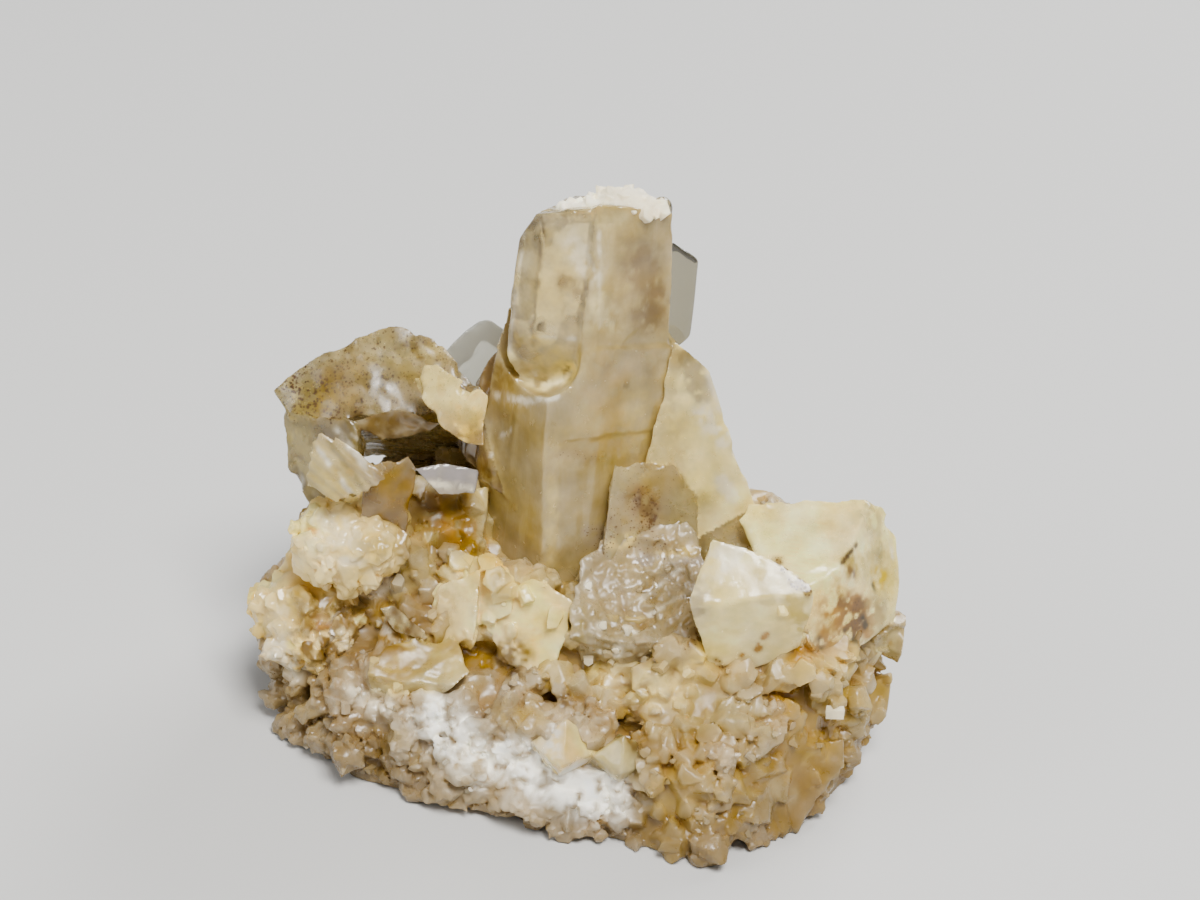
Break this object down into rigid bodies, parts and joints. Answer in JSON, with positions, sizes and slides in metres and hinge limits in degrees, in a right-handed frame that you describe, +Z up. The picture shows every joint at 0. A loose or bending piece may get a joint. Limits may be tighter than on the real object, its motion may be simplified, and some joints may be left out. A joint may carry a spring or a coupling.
{
  "type": "mineral specimen",
  "caption": "Hand specimen of intergrown pale amphibole crystals, a tall honey coloured prism rising from a druse covered matrix; stands on its cut flat underside.",
  "frame": {"origin": "middle of the bounding box, on the surface it stands on", "axes": "+X to the right and -Y towards the viewer of the front, where the tall prism shows its broad face and the pale crystal stands right of it; +Z up along the tall prism"},
  "size_m": [0.0324, 0.0227, 0.0286],
  "materials": {
    "crystal": "glassy crystal faces over sugary druse"
  },
  "bodies": {
    "root": {"crystal_cluster": "crystal"}
  },
  "joints": []
}
